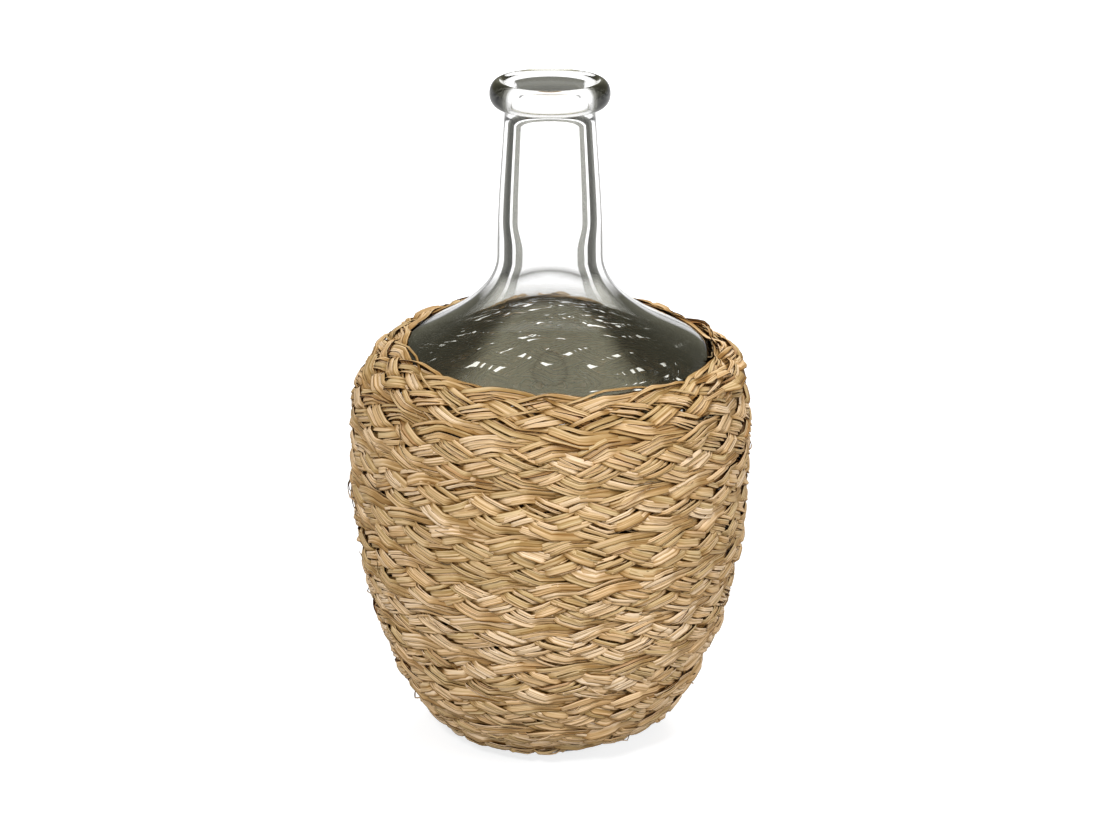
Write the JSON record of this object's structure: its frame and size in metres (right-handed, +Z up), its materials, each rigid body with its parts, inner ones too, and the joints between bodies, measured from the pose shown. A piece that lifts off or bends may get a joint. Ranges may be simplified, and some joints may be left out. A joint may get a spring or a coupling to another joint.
{
  "type": "woven glass vase",
  "caption": "Clear glass bottle vase with a long neck and rolled lip, in a sewn cover of plaited seagrass, for cut flowers or dried stems.",
  "frame": {"origin": "on the axis of the glass, in the plane that its foot stands on", "axes": "+Z up along the axis of the glass; -Y towards the side that the picture shows, +X to its right"},
  "size_m": [0.1865, 0.1865, 0.31],
  "materials": {
    "clear_glass": "clear, smooth and glossy blown glass",
    "seagrass_1": "dried seagrass, dull with fine lengthwise fibres",
    "seagrass_2": "dried seagrass, dull with fine lengthwise fibres",
    "seagrass_3": "dried seagrass, dull with fine lengthwise fibres",
    "seagrass_4": "dried seagrass, dull with fine lengthwise fibres",
    "seagrass_5": "dried seagrass, dull with fine lengthwise fibres",
    "sewing_thread": "matt spun thread"
  },
  "bodies": {
    "root": {"glass_vase": "clear_glass", "plait_row_1_strand_1": "seagrass_1", "plait_row_2_strand_1": "seagrass_1", "plait_row_3_strand_1": "seagrass_1", "plait_row_4_strand_1": "seagrass_1", "plait_row_5_strand_1": "seagrass_1", "plait_row_6_strand_1": "seagrass_1", "plait_row_7_strand_1": "seagrass_1", "plait_row_8_strand_1": "seagrass_1", "plait_row_9_strand_1": "seagrass_1", "plait_row_1_strand_2": "seagrass_2", "plait_row_2_strand_2": "seagrass_2", "plait_row_3_strand_2": "seagrass_2", "plait_row_4_strand_2": "seagrass_2", "plait_row_5_strand_2": "seagrass_2", "plait_row_6_strand_2": "seagrass_2", "plait_row_7_strand_2": "seagrass_2", "plait_row_8_strand_2": "seagrass_2", "plait_row_9_strand_2": "seagrass_2", "plait_row_1_strand_3": "seagrass_3", "plait_row_2_strand_3": "seagrass_3", "plait_row_3_strand_3": "seagrass_3", "plait_row_4_strand_3": "seagrass_3", "plait_row_5_strand_3": "seagrass_3", "plait_row_6_strand_3": "seagrass_3", "plait_row_7_strand_3": "seagrass_3", "plait_row_8_strand_3": "seagrass_3", "plait_row_9_strand_3": "seagrass_3", "plait_row_1_strand_4": "seagrass_4", "plait_row_2_strand_4": "seagrass_4", "plait_row_3_strand_4": "seagrass_4", "plait_row_4_strand_4": "seagrass_4", "plait_row_5_strand_4": "seagrass_4", "plait_row_6_strand_4": "seagrass_4", "plait_row_7_strand_4": "seagrass_4", "plait_row_8_strand_4": "seagrass_4", "plait_row_9_strand_4": "seagrass_4", "plait_row_1_strand_5": "seagrass_5", "plait_row_2_strand_5": "seagrass_5", "plait_row_3_strand_5": "seagrass_5", "plait_row_4_strand_5": "seagrass_5", "plait_row_5_strand_5": "seagrass_5", "plait_row_6_strand_5": "seagrass_5", "plait_row_7_strand_5": "seagrass_5", "plait_row_8_strand_5": "seagrass_5", "plait_row_9_strand_5": "seagrass_5", "seam_thread": "sewing_thread"}
  },
  "joints": []
}
